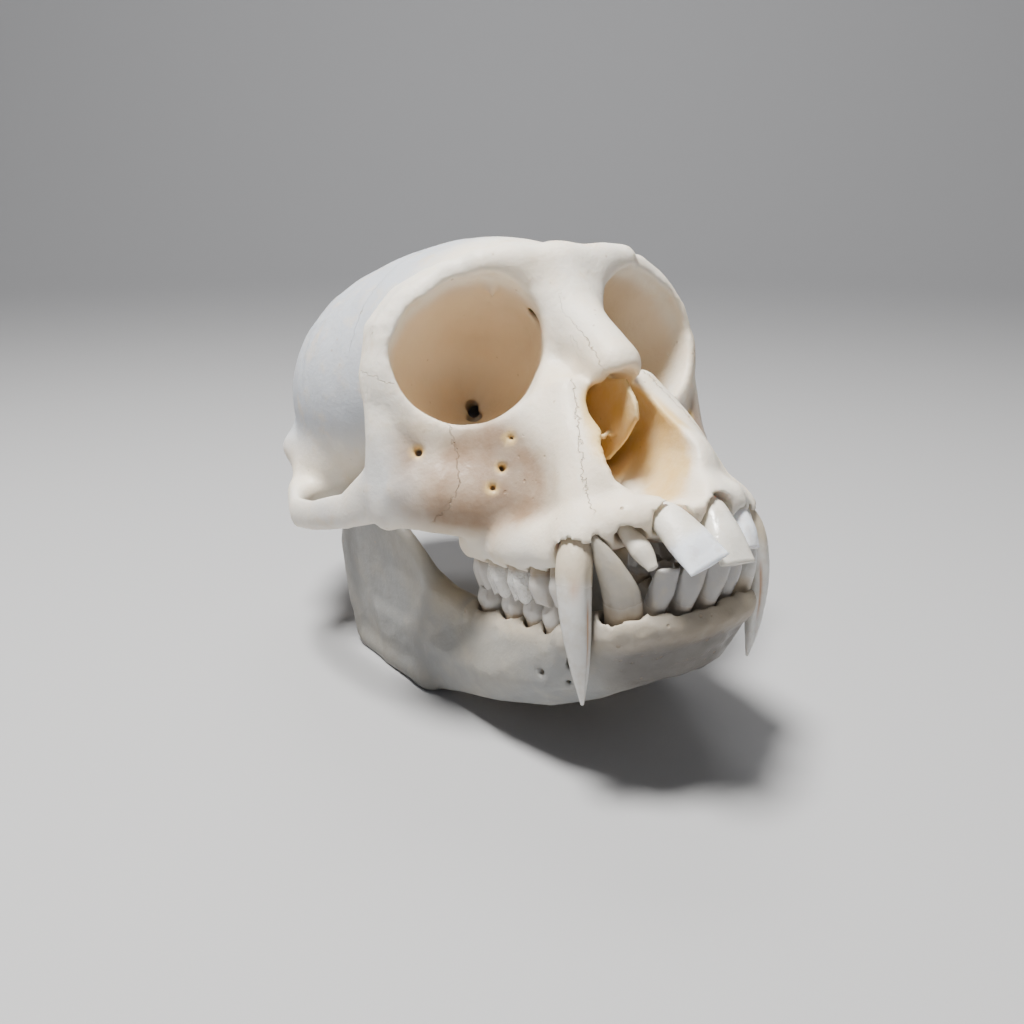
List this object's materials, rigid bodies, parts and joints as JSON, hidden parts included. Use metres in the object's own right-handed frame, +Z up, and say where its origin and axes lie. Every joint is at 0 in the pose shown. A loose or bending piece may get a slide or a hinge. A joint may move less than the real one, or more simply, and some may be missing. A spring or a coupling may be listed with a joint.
{
  "type": "monkey skull",
  "caption": "Dry skull of a small monkey with a hollow braincase, deep orbits, slender cheek arches, long canines and a separate lower jaw resting in place.",
  "frame": {"origin": "middle of the bounding box, at the level the lower jaw rests on", "axes": "+X to the animal's left, +Y to the back of the head, +Z up"},
  "size_m": [0.076, 0.1184, 0.078],
  "materials": {
    "cranium": "matte dry bone",
    "mandible": "matte dry bone",
    "left_lower_canine": "smooth enamel",
    "left_lower_i1": "smooth enamel",
    "left_lower_i2": "smooth enamel",
    "left_lower_m1": "smooth enamel",
    "left_lower_m2": "smooth enamel",
    "left_lower_m3": "smooth enamel",
    "left_lower_p3": "smooth enamel",
    "left_lower_p4": "smooth enamel",
    "left_upper_canine": "smooth enamel",
    "left_upper_i1": "smooth enamel",
    "left_upper_i2": "smooth enamel",
    "left_upper_m1": "smooth enamel",
    "left_upper_m2": "smooth enamel",
    "left_upper_m3": "smooth enamel",
    "left_upper_p3": "smooth enamel",
    "left_upper_p4": "smooth enamel",
    "right_lower_canine": "smooth enamel",
    "right_lower_i1": "smooth enamel",
    "right_lower_i2": "smooth enamel",
    "right_lower_m1": "smooth enamel",
    "right_lower_m2": "smooth enamel",
    "right_lower_m3": "smooth enamel",
    "right_lower_p3": "smooth enamel",
    "right_lower_p4": "smooth enamel",
    "right_upper_canine": "smooth enamel",
    "right_upper_i1": "smooth enamel",
    "right_upper_i2": "smooth enamel",
    "right_upper_m1": "smooth enamel",
    "right_upper_m2": "smooth enamel",
    "right_upper_m3": "smooth enamel",
    "right_upper_p3": "smooth enamel",
    "right_upper_p4": "smooth enamel"
  },
  "bodies": {
    "root": {"cranium": "cranium", "mandible": "mandible", "left_lower_canine": "left_lower_canine", "left_lower_i1": "left_lower_i1", "left_lower_i2": "left_lower_i2", "left_lower_m1": "left_lower_m1", "left_lower_m2": "left_lower_m2", "left_lower_m3": "left_lower_m3", "left_lower_p3": "left_lower_p3", "left_lower_p4": "left_lower_p4", "left_upper_canine": "left_upper_canine", "left_upper_i1": "left_upper_i1", "left_upper_i2": "left_upper_i2", "left_upper_m1": "left_upper_m1", "left_upper_m2": "left_upper_m2", "left_upper_m3": "left_upper_m3", "left_upper_p3": "left_upper_p3", "left_upper_p4": "left_upper_p4", "right_lower_canine": "right_lower_canine", "right_lower_i1": "right_lower_i1", "right_lower_i2": "right_lower_i2", "right_lower_m1": "right_lower_m1", "right_lower_m2": "right_lower_m2", "right_lower_m3": "right_lower_m3", "right_lower_p3": "right_lower_p3", "right_lower_p4": "right_lower_p4", "right_upper_canine": "right_upper_canine", "right_upper_i1": "right_upper_i1", "right_upper_i2": "right_upper_i2", "right_upper_m1": "right_upper_m1", "right_upper_m2": "right_upper_m2", "right_upper_m3": "right_upper_m3", "right_upper_p3": "right_upper_p3", "right_upper_p4": "right_upper_p4"}
  },
  "joints": []
}
